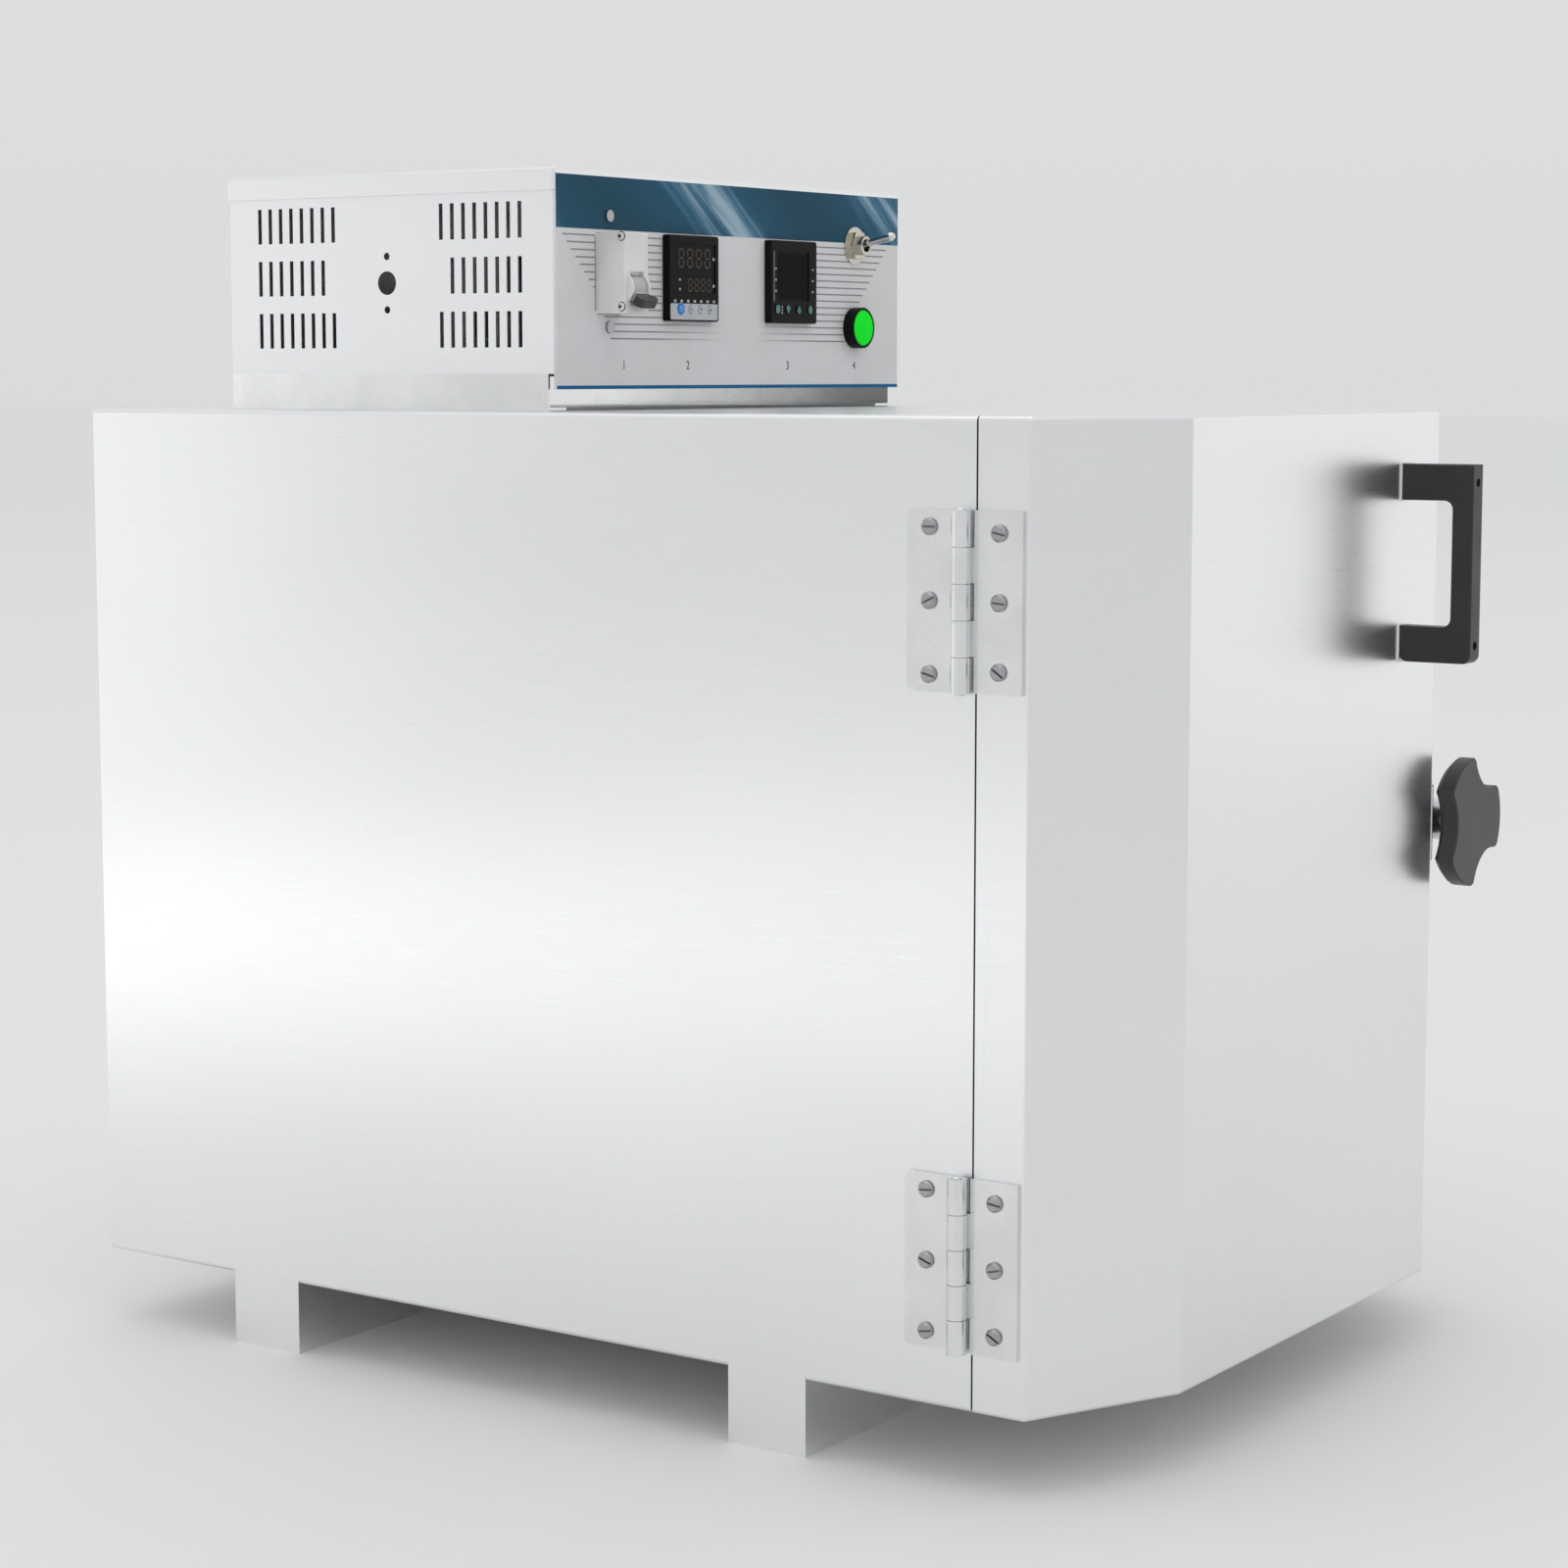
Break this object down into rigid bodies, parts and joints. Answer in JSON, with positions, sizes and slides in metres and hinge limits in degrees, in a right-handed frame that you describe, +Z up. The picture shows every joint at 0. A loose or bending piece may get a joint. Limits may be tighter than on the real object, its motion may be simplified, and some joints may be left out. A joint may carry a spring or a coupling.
{
  "type": "muffle furnace",
  "caption": "Benchtop muffle furnace: a square steel cabinet round a fired chamber, with a hinged insulated door, turn latch, pull handle and a control box on top.",
  "frame": {"origin": "centre of the bounding box in plan, on the plane the feet stand on", "axes": "+Z up, -Y out of the front of the door, +X to the right when one faces the door"},
  "size_m": [0.4844, 0.7164, 0.6735],
  "materials": {
    "alloy": "satin",
    "alloy_ribbon": "matte",
    "black_plastic": "satin",
    "blue_key": "satin",
    "bright_steel": "polished",
    "casing_steel": "satin",
    "chrome": "polished",
    "dark_plastic": "satin",
    "fibre_wool": "matte",
    "galvanised": "satin",
    "green_plastic": "gloss",
    "panel_paint": "satin",
    "refractory": "matte",
    "rope": "matte",
    "white_plastic": "satin"
  },
  "bodies": {
    "cabinet": {"outer_casing": "casing_steel", "skids": "casing_steel", "front_frame": "casing_steel", "latch_keeper": "galvanised", "back_cover": "casing_steel", "back_cover_screws": "bright_steel", "muffle_chamber": "refractory", "heating_ribbon": "alloy_ribbon", "insulation_slabs": "fibre_wool", "insulation_sides": "fibre_wool", "insulation_back": "fibre_wool", "insulation_retainer": "galvanised", "element_terminals": "refractory", "thermocouple": "refractory", "hinge_cabinet_leaves": "bright_steel", "hinge_pins": "bright_steel", "cabinet_leaf_screws": "bright_steel", "control_housing": "casing_steel", "control_lid": "casing_steel", "box_rails": "galvanised", "front_panel": "panel_paint", "box_screws": "bright_steel", "breaker_case": "white_plastic", "breaker_bracket": "galvanised", "temperature_controller": "black_plastic", "data_recorder": "black_plastic", "toggle_switch": "bright_steel", "toggle_nut": "bright_steel", "push_button_body": "dark_plastic", "push_button_block": "dark_plastic", "relay_heat_sink": "alloy", "solid_state_relay": "dark_plastic", "terminal_block": "white_plastic", "cable_gland": "dark_plastic", "wiring_conduit": "galvanised"},
    "door": {"door_shell": "casing_steel", "door_back_plate": "casing_steel", "door_insulation": "fibre_wool", "door_plug": "refractory", "door_gasket": "rope", "door_handle": "dark_plastic", "handle_screws": "bright_steel", "hinge_door_leaves": "bright_steel", "door_leaf_screws": "bright_steel", "latch_escutcheon": "chrome", "latch_bearing": "chrome"},
    "latch": {"latch_knob": "dark_plastic", "latch_shaft": "bright_steel", "latch_pawl": "galvanised"},
    "breaker_lever": {"breaker_lever": "dark_plastic"},
    "toggle_lever": {"toggle_lever": "chrome"},
    "push_button_cap": {"push_button_cap": "green_plastic"},
    "controller_key_1": {"controller_key_1": "blue_key"},
    "controller_key_2": {"controller_key_2": "blue_key"},
    "controller_key_3": {"controller_key_3": "blue_key"},
    "controller_key_4": {"controller_key_4": "blue_key"},
    "recorder_key_1": {"recorder_key_1": "blue_key"},
    "recorder_key_2": {"recorder_key_2": "blue_key"},
    "recorder_key_3": {"recorder_key_3": "blue_key"},
    "recorder_key_4": {"recorder_key_4": "blue_key"}
  },
  "joints": [
    {"name": "door_swing", "type": "hinge", "parent": "cabinet", "child": "door", "pos_m": [-0.23715, -0.23705, 0.291], "axis": [0, 0, -1], "range_deg": [0, 170]},
    {"name": "latch_turn", "type": "hinge", "parent": "door", "child": "latch", "pos_m": [0.17825, -0.30445, 0.3045], "axis": [0, 1, 0], "range_deg": [0, 90]},
    {"name": "breaker_throw", "type": "hinge", "parent": "cabinet", "child": "breaker_lever", "pos_m": [-0.12175, 0.04955, 0.6081], "axis": [-1, 0, 0], "range_deg": [0, 64]},
    {"name": "toggle_throw", "type": "hinge", "parent": "cabinet", "child": "toggle_lever", "pos_m": [0.13025, 0.05995, 0.6392], "axis": [1, 0, 0], "range_deg": [0, 25]},
    {"name": "push_button_press", "type": "slide", "parent": "cabinet", "child": "push_button_cap", "axis": [0, 1, 0], "range_m": [0, 0.003], "stiffness_N_per_m": 400},
    {"name": "controller_key_1_press", "type": "slide", "parent": "cabinet", "child": "controller_key_1", "axis": [0, 1, 0], "range_m": [0, 0.0005], "stiffness_N_per_m": 400},
    {"name": "controller_key_2_press", "type": "slide", "parent": "cabinet", "child": "controller_key_2", "axis": [0, 1, 0], "range_m": [0, 0.0005], "stiffness_N_per_m": 400},
    {"name": "controller_key_3_press", "type": "slide", "parent": "cabinet", "child": "controller_key_3", "axis": [0, 1, 0], "range_m": [0, 0.0005], "stiffness_N_per_m": 400},
    {"name": "controller_key_4_press", "type": "slide", "parent": "cabinet", "child": "controller_key_4", "axis": [0, 1, 0], "range_m": [0, 0.0005], "stiffness_N_per_m": 400},
    {"name": "recorder_key_1_press", "type": "slide", "parent": "cabinet", "child": "recorder_key_1", "axis": [0, 1, 0], "range_m": [0, 0.0005], "stiffness_N_per_m": 400},
    {"name": "recorder_key_2_press", "type": "slide", "parent": "cabinet", "child": "recorder_key_2", "axis": [0, 1, 0], "range_m": [0, 0.0005], "stiffness_N_per_m": 400},
    {"name": "recorder_key_3_press", "type": "slide", "parent": "cabinet", "child": "recorder_key_3", "axis": [0, 1, 0], "range_m": [0, 0.0005], "stiffness_N_per_m": 400},
    {"name": "recorder_key_4_press", "type": "slide", "parent": "cabinet", "child": "recorder_key_4", "axis": [0, 1, 0], "range_m": [0, 0.0005], "stiffness_N_per_m": 400}
  ]
}
